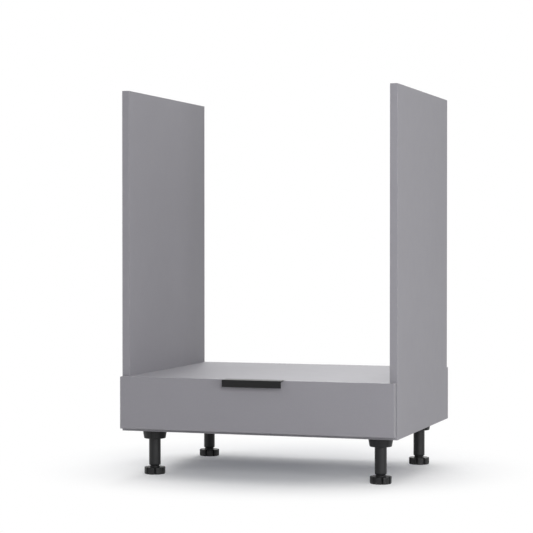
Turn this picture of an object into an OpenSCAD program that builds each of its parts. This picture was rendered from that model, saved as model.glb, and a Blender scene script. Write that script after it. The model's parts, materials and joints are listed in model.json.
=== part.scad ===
// Base cabinet for a built-in oven. Two full-height side panels stand on a low
// box with one drawer, and the oven slides in above it, onto the shelf.
// Millimetres. Z is up and the front faces -Y. The origin is on the floor, in the
// middle of the outline. Left is the -X side. Each paired piece is drawn on the
// left, where u is the distance inwards from the side panel's inner face.

/* [Carcass] */
// Width over the two side panels
body_w = 600; // [500:1:900]
// Depth of the side panels, with their front edging
side_d = 460; // [430:1:560]
// Height of the side panels
side_h = 720; // [600:1:900]
// Thickness of the boards
board_t = 16; // [15:0.5:19]
// Height of the low box, from its underside to the top of the oven shelf
box_h = 116; // [114:1:180]
// Thickness of the board across the rear of the low box
back_t = 12; // [8:0.5:18]
// Thickness of the edge banding
edging_t = 0.8; // [0.4:0.1:1]

/* [Legs] */
// Height of the carcass above the floor
leg_h = 97; // [88:1:150]
// From a leg's axis to the outer face of the side panel
leg_side = 50; // [46:1:80]
// From a leg's axis to the front or rear edge of the side panel
leg_set = 60; // [35:1:85]
// Diameter of the socket where it meets the board
socket_d = 53; // [50:0.5:56]
// Diameter of the socket at its lower end
socket_low_d = 46; // [44:0.5:48]
// Height of the socket
socket_h = 20.5; // [18:0.5:26]
// Diameter of the leg tube
tube_d = 25; // [24:0.5:26]
// Diameter of the foot
foot_d = 45; // [42:0.5:52]
// Height of the foot's disc
foot_h = 15; // [13:0.5:18]
// Number of lobes on the foot
foot_lobes = 8; // [6:1:10]

/* [Drawer] */
// Height of the drawer front
front_h = 110; // [104:1:112]
// Thickness of the drawer front
front_t = 16; // [15:0.5:19]
// Gap between the drawer front and the carcass behind it
front_gap = 2; // [2:0.5:4]
// How far the drawer front stays inside the carcass at each side
front_inset = 2; // [1:0.5:4]
// Height of the steel drawer sides
drawer_h = 54; // [54:0.5:60]

/* [Handle] */
// Length of the handle
handle_l = 128; // [96:1:320]
// Height of the handle's lip
lip_h = 15; // [12:0.5:20]
// How far the lip stands ahead of the drawer front
lip_reach = 16; // [12:0.5:24]

/* [Runners] */
// Diameter of the rollers
roller_d = 20; // [18:0.5:21]
// Width of the rollers
roller_w = 7.2; // [6.6:0.1:7.4]
// Thickness of the steel sheet
sheet_t = 1.2; // [1:0.1:1.4]
// Part of the runner that stays inside when the drawer is open
runner_stays = 110; // [80:1:150]

/* [Hidden] */
$fn = 64;

// Colours
laminate = [0.56, 0.555, 0.575];
banding = [0.6, 0.595, 0.615];
coated_steel = [0.72, 0.73, 0.74];
zinc = [0.66, 0.67, 0.68];
white_nylon = [0.9, 0.9, 0.88];
beech = [0.8, 0.66, 0.47];
black_plastic = [0.14, 0.14, 0.145];
black_metal = [0.16, 0.16, 0.165];

// Clearances
fit_gap = 0.1;
run_gap = 0.05;
roll_gap = 0.3;
slack = 0.5;
overrun = 1;

// Carcass planes
depth_all = lip_reach + front_t + front_gap + side_d + back_t;
front_y = lip_reach + front_t + front_gap - depth_all / 2;
rear_y = front_y + side_d;
inner_x = body_w / 2 - board_t;
deck_z = leg_h + board_t;
box_top_z = leg_h + box_h;
shelf_z = box_top_z - board_t;

// Knock-down fittings of the carcass
cam_d = 15;
cam_share = 0.78;
cam_reach = 34;
cam_set = 120;
cam_slot = 1.6;
cam_slot_deep = 2;
cam_slot_share = 0.7;
bolt_d = 6;
bolt_head_d = 7.4;
bolt_head_l = 3;
bolt_bite = 10;
bolt_bore_d = 8;
dowel_d = 8;
dowel_l = 30;
dowel_bite = 12;
dowel_pitch = 32;
back_screw_d = 3.5;
back_screw_l = 35;
back_screw_head = 7;
back_screw_share = 0.3;
side_screw_shares = [0.26, 0.74];

// Legs
socket_plate = 2.5;
socket_wall = 2.4;
socket_round = 1.5;
sleeve_wall = 2;
sleeve_short = 1;
rib_t = 1.6;
flute_w = 2.2;
flute_deep = 1;
flute_turn = 4;
socket_ribs = 8;
leg_screw_d = 4;
leg_screw_l = 13;
leg_screw_head = 6.6;
leg_screw_count = 4;
stem_d = 20;
stem_l = 45;
stem_round = 1.5;
spigot_d = 10;
spigot_l = 8;
hub_d = 22;
hub_h = 2;
foot_gap = 2;
foot_wall = 3;
foot_low_round = 2.5;
foot_top_round = 1;
notch_d = 5.2;
notch_in = 0.2;
pocket_d = 35;
pocket_hub_d = 17;
front_foot_turn = 22.5;
rear_foot_turn = 0;
tube_end_in = 1.2;
tube_end_h = 3.5;
tube_low_z = foot_h + hub_h + foot_gap;
leg_screw_r = (tube_d / 2 + sleeve_wall + socket_d / 2 - socket_wall) / 2;
leg_screw_turn = flute_turn + 180 / socket_ribs;

// Runners
fold_r = 0.8;
rail_set = 2;
runner_clear = 10;
rail_lift = 12;
rail_reach = 12.2;
rail_lip = 3.6;
rail_top_gap = 0.8;
roller_u = 3.1;
roller_set = 4;
roller_edge = 0.8;
roller_groove = 0.8;
roller_hub_d = 9;
roller_rim = 2.6;
pin_d = 5;
pin_head_d = 8;
pin_head_t = 0.8;
lug_h = 4;
lug_u = 4;
lug_w = 5;
rail_screw_d = 4;
rail_screw_l = 13;
rail_screw_head = 7.4;
rail_screw_shares = [0.12, 0.5, 0.88];
runner_l = side_d - runner_clear;
travel = runner_l - runner_stays;
track_z = deck_z + rail_lift + sheet_t;
rail_z = track_z - sheet_t;
roller_z = track_z + roll_gap + roller_d / 2;
hem_z = track_z + roller_d + 2 * roll_gap;
rail_h = hem_z + 3 * sheet_t + rail_top_gap - rail_z;
rail_y = front_y + rail_set;
rail_roller_y = rail_y + roller_d / 2 + roller_set;
drawer_roller_y = front_y + runner_l - roller_d / 2 - roller_set;
lug_rise = roller_d / 2 + roll_gap - lug_h;
lug_away = sqrt(pow(roller_d / 2, 2) - pow(lug_rise, 2)) + roll_gap;

// Drawer
web_gap = 1;
web_u = rail_reach + web_gap;
hem_u = roller_u;
drawer_lift = 6;
ledge_w = 22;
rim_w = 7;
rim_lip = 5;
drawer_z = deck_z + drawer_lift;
drawer_top_z = drawer_z + drawer_h;
web_in_u = web_u + sheet_t;
base_z = drawer_z + sheet_t;
base_top_z = base_z + board_t;
base_half_w = inner_x - web_in_u - fold_r;
front_face_y = front_y - front_gap - front_t;
front_back_y = front_y - front_gap;
front_half_w = body_w / 2 - front_inset;
front_z = box_top_z - front_h;
drawer_back_t = board_t;
drawer_end_gap = 2;
drawer_back_y = front_y + runner_l - drawer_end_gap - drawer_back_t;
drawer_back_h = drawer_top_z - rim_lip - slack - base_top_z;
bracket_t = 1.5;
bracket_w = 20;
bracket_d = 30;
back_bracket_w = 16;
bracket_h = drawer_back_h - 2 * slack;
bracket_z = base_top_z + slack;
small_screw_d = 3.5;
small_screw_l = 12;
small_screw_head = 6.6;
small_head_h = 2;
dome_share = 0.45;
bracket_screw_shares = [0.3, 0.75];
ledge_screw_shares = [0.14, 0.5, 0.86];
back_row_share = 0.65;
base_screw_l = 35;

// Handle
handle_t = 1.5;
handle_proud = 0.3;
handle_edge_r = 0.5;
handle_leg = 36;
handle_screw_up = 8;
handle_screw_share = 0.36;
handle_top_z = box_top_z + handle_proud;
handle_y = front_face_y - lip_reach;
rebate_end = 0.2;

// Places that are used more than once
joint_ys = [front_y + cam_set, rear_y - cam_set];
dowel_ys = [front_y + cam_set + dowel_pitch, rear_y - cam_set - dowel_pitch];
board_mid_zs = [leg_h + board_t / 2, shelf_z + board_t / 2];
leg_x = body_w / 2 - leg_side;
leg_ys = [front_y + leg_set, rear_y - leg_set];

// A block from its lowest to its highest corner
module block(low, high) {
    translate(low) cube(high - low);
}

// What is drawn on the left, and its mirror image on the right
module both_sides() {
    children();
    mirror([1, 0, 0]) children();
}

// A round bar along +X
module bar_x(l, d) {
    rotate([0, 90, 0]) cylinder(h = l, d = d);
}

// A sheet section bent once: its corner is at the origin, its legs run along +X and +Y
module bent_angle(leg_x, leg_y, t, r) {
    out = r + t;
    translate([out, 0]) square([leg_x - out, t]);
    translate([0, out]) square([t, leg_y - out]);
    translate([out, out]) intersection() {
        difference() {
            circle(out);
            circle(r);
        }
        translate([-out, -out]) square(out);
    }
}

// Runs a section, drawn in u and z, along Y on the left side
module along_side(y, l) {
    translate([-inner_x, y + l, 0]) rotate([90, 0, 0]) linear_extrude(l) children();
}

// A countersunk screw that points along -Z, the flat of its head at z = 0
module sunk_screw(d, l, head_d, grow = 0) {
    cone = (head_d - d) / 2;
    rotate_extrude() polygon([[0, 0], [head_d / 2 + grow, 0], [d / 2 + grow, -cone],
        [d / 2 + grow, -l + d - grow], [0, -l - grow]]);
}

// A round-headed screw that points along -Z, its head standing on z = 0
module round_screw(d, l, head_d, head_h) {
    rotate_extrude() polygon([[0, head_h], [head_d / 4, head_h],
        [head_d / 2, head_h * dome_share], [head_d / 2, 0], [d / 2, 0],
        [d / 2, -l + d], [0, -l]]);
}

// The hole that a round-headed screw's shank leaves below z = 0
module shank_hole(d, l) {
    rotate_extrude() polygon([[0, overrun], [d / 2 + fit_gap, overrun],
        [d / 2 + fit_gap, -l + d - fit_gap], [0, -l - fit_gap]]);
}

// Carcass

// Puts its children at each cam lock's bolt, on the side panel's inner face at the left
module at_cam_bolts() {
    for (y = joint_ys, z = board_mid_zs) translate([-inner_x, y, z]) children();
}

module at_dowels() {
    for (y = dowel_ys, z = board_mid_zs) translate([-inner_x, y, z]) children();
}

// Puts its children at each screw of the back board, pointing along -Z into the carcass
module at_side_back_screws() {
    for (share = side_screw_shares)
        translate([-body_w / 2 + board_t / 2, rear_y + back_t, leg_h + box_h * share])
            rotate([-90, 0, 0]) children();
}

module at_board_back_screws() {
    for (z = board_mid_zs)
        translate([-body_w * back_screw_share, rear_y + back_t, z])
            rotate([-90, 0, 0]) children();
}

module at_rail_screws() {
    for (share = rail_screw_shares)
        translate([-inner_x + sheet_t, rail_y + runner_l * share, rail_z + rail_h / 2])
            rotate([0, 90, 0]) children();
}

module rail_screw(grow = 0) {
    sunk_screw(rail_screw_d, rail_screw_l, rail_screw_head, grow);
}

module back_screw(grow = 0) {
    sunk_screw(back_screw_d, back_screw_l, back_screw_head, grow);
}

module side_panel() {
    difference() {
        block([-body_w / 2, front_y + edging_t, leg_h], [-inner_x, rear_y, leg_h + side_h]);
        at_cam_bolts() translate([-bolt_bite - fit_gap, 0, 0])
            bar_x(bolt_bite + fit_gap + overrun, bolt_d + 2 * fit_gap);
        at_dowels() translate([-dowel_bite - fit_gap, 0, 0])
            bar_x(dowel_bite + fit_gap + overrun, dowel_d + 2 * fit_gap);
        at_side_back_screws() back_screw(fit_gap);
        at_rail_screws() rail_screw(fit_gap);
    }
}

module side_edging() {
    block([-body_w / 2, front_y, leg_h], [-inner_x, front_y + edging_t, leg_h + side_h]);
}

module side_panel_left() {
    color(laminate) side_panel();
}

module side_panel_right() {
    color(laminate) mirror([1, 0, 0]) side_panel();
}

module side_edging_left() {
    color(banding) side_edging();
}

module side_edging_right() {
    color(banding) mirror([1, 0, 0]) side_edging();
}

// Holes that the cam locks, bolts and dowels need at the left end of a board
module board_end_holes(z) {
    for (y = joint_ys) translate([-inner_x, y, z + board_t / 2]) {
        translate([-overrun, 0, 0]) bar_x(cam_reach + overrun, bolt_bore_d);
        translate([cam_reach, 0, -board_t / 2 - overrun])
            cylinder(h = board_t * cam_share + fit_gap + overrun, d = cam_d + 2 * fit_gap);
    }
    for (y = dowel_ys) translate([-inner_x - overrun, y, z + board_t / 2])
        bar_x(dowel_l - dowel_bite + fit_gap + overrun, dowel_d + 2 * fit_gap);
}

// A board between the side panels, with its underside at z
module level_board(z) {
    difference() {
        block([-inner_x, front_y + edging_t, z], [inner_x, rear_y, z + board_t]);
        both_sides() board_end_holes(z);
        both_sides() at_board_back_screws() back_screw(fit_gap);
    }
}

module level_edging(z) {
    block([-inner_x, front_y, z], [inner_x, front_y + edging_t, z + board_t]);
}

module bottom_panel() {
    color(laminate) difference() {
        level_board(leg_h);
        at_leg_screws() translate([0, 0, socket_plate])
            mirror([0, 0, 1]) shank_hole(leg_screw_d, leg_screw_l - socket_plate);
    }
}

module bottom_edging() {
    color(banding) level_edging(leg_h);
}

module oven_shelf() {
    color(laminate) level_board(shelf_z);
}

module shelf_edging() {
    color(banding) level_edging(shelf_z);
}

module back_board() {
    color(laminate) difference() {
        block([-body_w / 2, rear_y, leg_h], [body_w / 2, rear_y + back_t, box_top_z]);
        both_sides() at_side_back_screws() back_screw(fit_gap);
        both_sides() at_board_back_screws() back_screw(fit_gap);
    }
}

// A cam lock, its slotted face down, with the pocket that takes the bolt's head
module cam_lock(z) {
    high = board_t * cam_share;
    slot_l = cam_d * cam_slot_share;
    difference() {
        translate([0, 0, z]) cylinder(h = high, d = cam_d);
        translate([-cam_d, 0, z + board_t / 2])
            bar_x(cam_d + bolt_head_d / 2, bolt_bore_d);
        for (turn = [0, 90]) rotate([0, 0, turn])
            translate([-slot_l / 2, -cam_slot / 2, z - overrun])
                cube([slot_l, cam_slot, cam_slot_deep + overrun]);
    }
}

module cam_locks() {
    color(zinc) both_sides() for (y = joint_ys, z = [leg_h, shelf_z])
        translate([-inner_x + cam_reach, y, 0]) cam_lock(z);
}

module cam_bolt() {
    translate([-bolt_bite, 0, 0]) bar_x(bolt_bite + cam_reach, bolt_d);
    translate([cam_reach - bolt_head_l, 0, 0]) bar_x(bolt_head_l, bolt_head_d);
}

module cam_bolts() {
    color(zinc) both_sides() at_cam_bolts() cam_bolt();
}

module dowels() {
    color(beech) both_sides() at_dowels() translate([-dowel_bite, 0, 0])
        bar_x(dowel_l, dowel_d);
}

module back_screws() {
    color(zinc) both_sides() {
        at_side_back_screws() back_screw();
        at_board_back_screws() back_screw();
    }
}

// Runners fixed to the carcass

module rail_section() {
    translate([0, rail_z]) bent_angle(rail_reach / 2, rail_h / 2, sheet_t, fold_r);
    translate([rail_reach, rail_z]) mirror([1, 0])
        bent_angle(rail_reach / 2, rail_lip, sheet_t, fold_r);
    translate([0, rail_z + rail_h]) mirror([0, 1])
        bent_angle(rail_reach, rail_h / 2, sheet_t, fold_r);
}

// A tab turned up from the track that stops the drawer's roller
module stop_lug(y) {
    block([-inner_x + lug_u, y, rail_z],
        [-inner_x + lug_u + lug_w, y + sheet_t, track_z + lug_h]);
}

module rail() {
    difference() {
        union() {
            along_side(rail_y, runner_l) rail_section();
            stop_lug(drawer_roller_y - travel - lug_away - sheet_t);
            stop_lug(drawer_roller_y + lug_away);
        }
        at_rail_screws() rail_screw(fit_gap);
        translate([-inner_x - overrun, rail_roller_y, roller_z])
            bar_x(sheet_t + 2 * overrun, pin_d + 2 * fit_gap);
    }
}

module rail_left() {
    color(coated_steel) rail();
}

module rail_right() {
    color(coated_steel) mirror([1, 0, 0]) rail();
}

module rail_screws() {
    color(zinc) both_sides() at_rail_screws() rail_screw();
}

// A rivet pin for a roller, from u_root to u_head, with a shoulder at its root side
module roller_pin(u_root, shoulder_from, shoulder_to, head_from, head_to, u_tip) {
    translate([-inner_x, 0, 0]) {
        translate([min(u_root, u_tip), 0, 0]) bar_x(abs(u_tip - u_root), pin_d);
        translate([shoulder_from, 0, 0]) bar_x(shoulder_to - shoulder_from, pin_head_d);
        translate([head_from, 0, 0]) bar_x(head_to - head_from, pin_head_d);
    }
}

module rail_pins() {
    low_u = roller_u - roll_gap;
    high_u = roller_u + roller_w + roll_gap;
    color(zinc) both_sides() translate([0, rail_roller_y, roller_z])
        roller_pin(0, sheet_t, low_u, high_u, high_u + pin_head_t, high_u + pin_head_t);
}

// A nylon roller with a bore, a hub, a groove in each side face and chamfered edges
module roller() {
    r = roller_d / 2;
    bore = pin_d / 2 + run_gap;
    hub = roller_hub_d / 2;
    rotate([0, 90, 0]) rotate_extrude() polygon([[bore, 0], [hub, 0],
        [hub, roller_groove], [r - roller_rim, roller_groove], [r - roller_rim, 0],
        [r - roller_edge, 0], [r, roller_edge], [r, roller_w - roller_edge],
        [r - roller_edge, roller_w], [r - roller_rim, roller_w],
        [r - roller_rim, roller_w - roller_groove], [hub, roller_w - roller_groove],
        [hub, roller_w], [bore, roller_w]]);
}

module rail_roller() {
    translate([-inner_x + roller_u, rail_roller_y, roller_z]) roller();
}

module drawer_roller() {
    translate([-inner_x + roller_u, drawer_roller_y, roller_z]) roller();
}

module rail_roller_left() {
    color(white_nylon) rail_roller();
}

module rail_roller_right() {
    color(white_nylon) mirror([1, 0, 0]) rail_roller();
}

module drawer_roller_left() {
    color(white_nylon) drawer_roller();
}

module drawer_roller_right() {
    color(white_nylon) mirror([1, 0, 0]) drawer_roller();
}

// Legs

// Puts its children under the board at the axis of one leg
module at_leg(side, row) {
    translate([side * leg_x, leg_ys[row], leg_h]) children();
}

module at_all_legs() {
    for (side = [-1, 1], row = [0, 1]) at_leg(side, row) children();
}

module at_leg_screws() {
    at_all_legs() for (k = [0 : leg_screw_count - 1])
        rotate([0, 0, leg_screw_turn + 360 * k / leg_screw_count])
            translate([leg_screw_r, 0, -socket_plate]) children();
}

module leg_socket() {
    top_r = socket_d / 2;
    low_r = socket_low_d / 2;
    bore_r = tube_d / 2 + fit_gap;
    sleeve_r = bore_r + sleeve_wall;
    taper = atan((top_r - low_r) / socket_h);
    difference() {
        union() {
            rotate_extrude() polygon([[0, 0], [top_r, 0],
                [low_r + socket_round * tan(taper), -socket_h + socket_round],
                [low_r - socket_round / 2, -socket_h + socket_round / 4],
                [low_r - socket_round, -socket_h], [low_r - socket_wall, -socket_h],
                [top_r - socket_wall, -socket_plate], [sleeve_r, -socket_plate],
                [sleeve_r, -socket_h + sleeve_short], [bore_r, -socket_h + sleeve_short],
                [bore_r, -socket_plate], [0, -socket_plate]]);
            for (k = [0 : socket_ribs - 1]) rotate([0, 0, flute_turn + 360 * k / socket_ribs])
                block([bore_r + sleeve_wall / 2, -rib_t / 2, -socket_h + 2 * sleeve_short],
                    [low_r - socket_wall / 2, rib_t / 2, -socket_plate / 2]);
        }
        for (k = [0 : socket_ribs - 1]) rotate([0, 0, flute_turn + 360 * k / socket_ribs])
            translate([top_r - flute_deep, 0, -socket_plate]) rotate([0, taper, 0])
                translate([0, -flute_w / 2, -2 * socket_h])
                    cube([2 * flute_deep, flute_w, 2 * socket_h]);
        for (k = [0 : leg_screw_count - 1])
            rotate([0, 0, leg_screw_turn + 360 * k / leg_screw_count])
                translate([leg_screw_r, 0, -socket_plate - overrun])
                    cylinder(h = socket_plate + 2 * overrun, d = leg_screw_d + 2 * fit_gap);
    }
}

// The tube stands in the socket's sleeve; its bore takes the foot's stem
module leg_tube() {
    r = tube_d / 2;
    bore_r = stem_d / 2 + run_gap;
    top = -socket_plate;
    low = tube_low_z - leg_h;
    rotate_extrude() polygon([[bore_r, low], [r - tube_end_in, low],
        [r - tube_end_in / 4, low + tube_end_h / 2], [r, low + tube_end_h],
        [r, top], [bore_r, top]]);
}

module socket_screws() {
    color(zinc) at_leg_screws() mirror([0, 0, 1])
        round_screw(leg_screw_d, leg_screw_l, leg_screw_head, small_head_h);
}

// The screw stem of a foot, with the spigot that the foot's hub turns on
module leg_stem() {
    r = stem_d / 2;
    low = foot_h + hub_h + run_gap - leg_h;
    rotate_extrude() polygon([[0, low - spigot_l], [spigot_d / 2, low - spigot_l],
        [spigot_d / 2, low], [r, low], [r, low + stem_l - stem_round],
        [r - stem_round, low + stem_l], [0, low + stem_l]]);
}

// The outline of the foot's disc and hub, turned about its axis
module foot_body() {
    r = foot_d / 2;
    steps = 4;
    low_arc = [for (k = [0 : steps]) let (a = 90 * k / steps)
        [r - foot_low_round * (1 - sin(a)), foot_low_round * (1 - cos(a))]];
    top_arc = [for (k = [0 : steps]) let (a = 90 * k / steps)
        [r - foot_top_round * (1 - cos(a)), foot_h - foot_top_round * (1 - sin(a))]];
    rotate_extrude() polygon(concat([[0, 0]], low_arc, top_arc,
        [[hub_d / 2, foot_h], [hub_d / 2, foot_h + hub_h], [0, foot_h + hub_h]]));
}

module leg_foot(turn) {
    translate([0, 0, -leg_h]) rotate([0, 0, turn]) {
        difference() {
            foot_body();
            for (k = [0 : foot_lobes - 1]) rotate([0, 0, 360 * k / foot_lobes])
                translate([0, -foot_d / 2 + notch_in, -overrun])
                    cylinder(h = foot_h + 2 * overrun, d = notch_d);
            translate([0, 0, foot_h + hub_h - spigot_l - fit_gap])
                cylinder(h = spigot_l + fit_gap + overrun, d = spigot_d + 2 * run_gap);
            rotate_extrude() translate([pocket_hub_d / 2, -overrun])
                square([(pocket_d - pocket_hub_d) / 2, foot_h - foot_wall + overrun]);
        }
        for (k = [0 : foot_lobes - 1]) rotate([0, 0, (360 * k + 180) / foot_lobes])
            block([pocket_hub_d / 2 - rib_t / 2, -rib_t / 2, foot_low_round],
                [pocket_d / 2 + rib_t / 2, rib_t / 2, foot_h - foot_wall / 2]);
    }
}

module socket_front_left() {
    color(black_plastic) at_leg(-1, 0) leg_socket();
}

module socket_front_right() {
    color(black_plastic) at_leg(1, 0) leg_socket();
}

module socket_rear_left() {
    color(black_plastic) at_leg(-1, 1) leg_socket();
}

module socket_rear_right() {
    color(black_plastic) at_leg(1, 1) leg_socket();
}

module tube_front_left() {
    color(black_plastic) at_leg(-1, 0) leg_tube();
}

module tube_front_right() {
    color(black_plastic) at_leg(1, 0) leg_tube();
}

module tube_rear_left() {
    color(black_plastic) at_leg(-1, 1) leg_tube();
}

module tube_rear_right() {
    color(black_plastic) at_leg(1, 1) leg_tube();
}

module stem_front_left() {
    color(black_plastic) at_leg(-1, 0) leg_stem();
}

module stem_front_right() {
    color(black_plastic) at_leg(1, 0) leg_stem();
}

module stem_rear_left() {
    color(black_plastic) at_leg(-1, 1) leg_stem();
}

module stem_rear_right() {
    color(black_plastic) at_leg(1, 1) leg_stem();
}

module foot_front_left() {
    color(black_plastic) at_leg(-1, 0) leg_foot(front_foot_turn);
}

module foot_front_right() {
    color(black_plastic) at_leg(1, 0) leg_foot(front_foot_turn);
}

module foot_rear_left() {
    color(black_plastic) at_leg(-1, 1) leg_foot(rear_foot_turn);
}

module foot_rear_right() {
    color(black_plastic) at_leg(1, 1) leg_foot(rear_foot_turn);
}

// Drawer

// Puts its children at the bracket screws in the drawer front, pointing along -Z into it
module at_front_bracket_screws() {
    for (share = bracket_screw_shares)
        translate([-inner_x + web_in_u + bracket_w * back_row_share,
            front_back_y + bracket_t, bracket_z + bracket_h * share])
            rotate([-90, 0, 0]) children();
}

// The same in the drawer's back, pointing along -Z into it
module at_back_bracket_screws() {
    for (share = bracket_screw_shares)
        translate([-inner_x + web_in_u + back_bracket_w * back_row_share,
            drawer_back_y - bracket_t, bracket_z + bracket_h * share])
            rotate([90, 0, 0]) children();
}

module at_handle_screws() {
    for (side = [-1, 1])
        translate([side * handle_l * handle_screw_share, front_back_y + handle_t,
            handle_top_z - handle_leg + handle_screw_up])
            rotate([-90, 0, 0]) children();
}

// Under the steel ledges, pointing along -Z once turned over, up into the drawer bottom
module at_ledge_screws() {
    for (share = ledge_screw_shares)
        translate([-inner_x + web_u + ledge_w * back_row_share,
            front_y + runner_l * share, drawer_z])
            mirror([0, 0, 1]) children();
}

module at_base_screws() {
    for (share = [-1, 0, 1])
        translate([share * body_w * back_screw_share, drawer_back_y + drawer_back_t / 2, base_z])
            mirror([0, 0, 1]) children();
}

module small_screw() {
    round_screw(small_screw_d, small_screw_l, small_screw_head, small_head_h);
}

module base_screw(grow = 0) {
    sunk_screw(back_screw_d, base_screw_l, back_screw_head, grow);
}

// The rebate in the top edge that the handle lies in
module handle_rebate() {
    block([-handle_l / 2 - rebate_end, front_face_y - overrun,
            handle_top_z - handle_t],
        [handle_l / 2 + rebate_end, front_back_y + overrun, box_top_z + overrun]);
}

module drawer_front() {
    color(laminate) difference() {
        block([-front_half_w + edging_t, front_face_y, front_z + edging_t],
            [front_half_w - edging_t, front_back_y, box_top_z - edging_t]);
        handle_rebate();
        at_handle_screws() shank_hole(small_screw_d, small_screw_l);
        both_sides() at_front_bracket_screws() shank_hole(small_screw_d, small_screw_l);
    }
}

module front_edging() {
    inner_half = front_half_w - edging_t;
    color(banding) difference() {
        union() {
            both_sides() block([-front_half_w, front_face_y, front_z],
                [-inner_half, front_back_y, box_top_z]);
            for (z = [front_z, box_top_z - edging_t])
                block([-inner_half, front_face_y, z],
                    [inner_half, front_back_y, z + edging_t]);
        }
        handle_rebate();
    }
}

// What a rounded edge takes off the corner of a section at the origin
module edge_round(r) {
    difference() {
        translate([-r, -r]) square(2 * r);
        translate([r, r]) circle(r);
        translate([r, -r]) square([r, 3 * r]);
        translate([-r, r]) square([3 * r, r]);
    }
}

// The handle's section, drawn in y and z: a lip, a flat top and a leg behind the front
module handle_section() {
    deep = front_back_y + handle_t - handle_y;
    translate([handle_y, handle_top_z]) difference() {
        union() {
            translate([0, -handle_t]) square([deep, handle_t]);
            translate([0, -lip_h]) square([handle_t, lip_h]);
            translate([deep - handle_t, -handle_leg]) square([handle_t, handle_leg]);
        }
        mirror([0, 1]) edge_round(handle_edge_r);
        translate([deep, 0]) mirror([1, 0]) mirror([0, 1]) edge_round(handle_edge_r);
    }
}

module handle() {
    color(black_metal) difference() {
        translate([-handle_l / 2, 0, 0]) rotate([90, 0, 90])
            linear_extrude(handle_l) handle_section();
        at_handle_screws() translate([0, 0, -handle_t])
            cylinder(h = 3 * handle_t, d = small_screw_d + 2 * fit_gap, center = true);
    }
}

module handle_screws() {
    color(zinc) at_handle_screws() small_screw();
}

module drawer_side_section() {
    translate([web_u, drawer_z]) bent_angle(ledge_w, drawer_h / 2, sheet_t, fold_r);
    translate([web_u, drawer_top_z]) mirror([0, 1])
        bent_angle(rim_w / 2, drawer_h / 2, sheet_t, fold_r);
    translate([web_u + rim_w, drawer_top_z]) mirror([1, 0]) mirror([0, 1])
        bent_angle(rim_w / 2, rim_lip, sheet_t, fold_r);
    translate([hem_u + sheet_t, hem_z]) square([web_u - hem_u, 2 * sheet_t]);
    translate([hem_u + sheet_t, hem_z + sheet_t]) circle(sheet_t);
}

module drawer_side() {
    difference() {
        along_side(front_y, runner_l) drawer_side_section();
        translate([-inner_x + web_u - overrun, drawer_roller_y, roller_z])
            bar_x(sheet_t + 2 * overrun, pin_d + 2 * fit_gap);
        at_ledge_screws() cylinder(h = 4 * sheet_t, d = small_screw_d + 2 * fit_gap, center = true);
    }
}

module drawer_side_left() {
    color(coated_steel) drawer_side();
}

module drawer_side_right() {
    color(coated_steel) mirror([1, 0, 0]) drawer_side();
}

module drawer_bottom() {
    color(laminate) difference() {
        block([-base_half_w, front_back_y, base_z],
            [base_half_w, drawer_back_y + drawer_back_t, base_top_z]);
        both_sides() at_ledge_screws() shank_hole(small_screw_d, small_screw_l);
        at_base_screws() base_screw(fit_gap);
    }
}

module drawer_back() {
    color(laminate) difference() {
        block([-base_half_w, drawer_back_y, base_top_z],
            [base_half_w, drawer_back_y + drawer_back_t, base_top_z + drawer_back_h]);
        both_sides() at_back_bracket_screws() shank_hole(small_screw_d, small_screw_l);
        at_base_screws() base_screw(fit_gap);
    }
}

// Angle brackets stand along the webs, between the drawer bottom and the rim
module front_brackets() {
    color(coated_steel) both_sides() difference() {
        translate([-inner_x + web_in_u, front_back_y, bracket_z]) linear_extrude(bracket_h)
            bent_angle(bracket_w, bracket_d, bracket_t, fold_r);
        at_front_bracket_screws()
            cylinder(h = 4 * bracket_t, d = small_screw_d + 2 * fit_gap, center = true);
    }
}

module back_brackets() {
    color(coated_steel) both_sides() difference() {
        translate([-inner_x + web_in_u, drawer_back_y, bracket_z]) mirror([0, 1, 0])
            linear_extrude(bracket_h)
                bent_angle(back_bracket_w, back_bracket_w, bracket_t, fold_r);
        at_back_bracket_screws()
            cylinder(h = 4 * bracket_t, d = small_screw_d + 2 * fit_gap, center = true);
    }
}

module bracket_screws() {
    color(zinc) both_sides() {
        at_front_bracket_screws() small_screw();
        at_back_bracket_screws() small_screw();
    }
}

module drawer_screws() {
    color(zinc) {
        both_sides() at_ledge_screws() small_screw();
        at_base_screws() base_screw();
    }
}

module drawer_pins() {
    low_u = roller_u - roll_gap;
    high_u = roller_u + roller_w + roll_gap;
    color(zinc) both_sides() translate([0, drawer_roller_y, roller_z])
        roller_pin(web_in_u, high_u, web_u, low_u - pin_head_t, low_u, low_u - pin_head_t);
}

side_panel_left();
side_panel_right();
side_edging_left();
side_edging_right();
bottom_panel();
bottom_edging();
oven_shelf();
shelf_edging();
back_board();
cam_locks();
cam_bolts();
dowels();
back_screws();
rail_left();
rail_right();
rail_screws();
rail_pins();
socket_front_left();
socket_front_right();
socket_rear_left();
socket_rear_right();
tube_front_left();
tube_front_right();
tube_rear_left();
tube_rear_right();
socket_screws();
drawer_front();
front_edging();
handle();
handle_screws();
drawer_side_left();
drawer_side_right();
drawer_bottom();
drawer_back();
front_brackets();
back_brackets();
bracket_screws();
drawer_screws();
drawer_pins();
rail_roller_left();
rail_roller_right();
drawer_roller_left();
drawer_roller_right();
stem_front_left();
stem_front_right();
stem_rear_left();
stem_rear_right();
foot_front_left();
foot_front_right();
foot_rear_left();
foot_rear_right();
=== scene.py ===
"""The looks of the oven base cabinet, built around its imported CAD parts.

Lengths are in metres, apart from those under "in mm", which the code multiplies by MM.
"""

import json
import math

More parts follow.
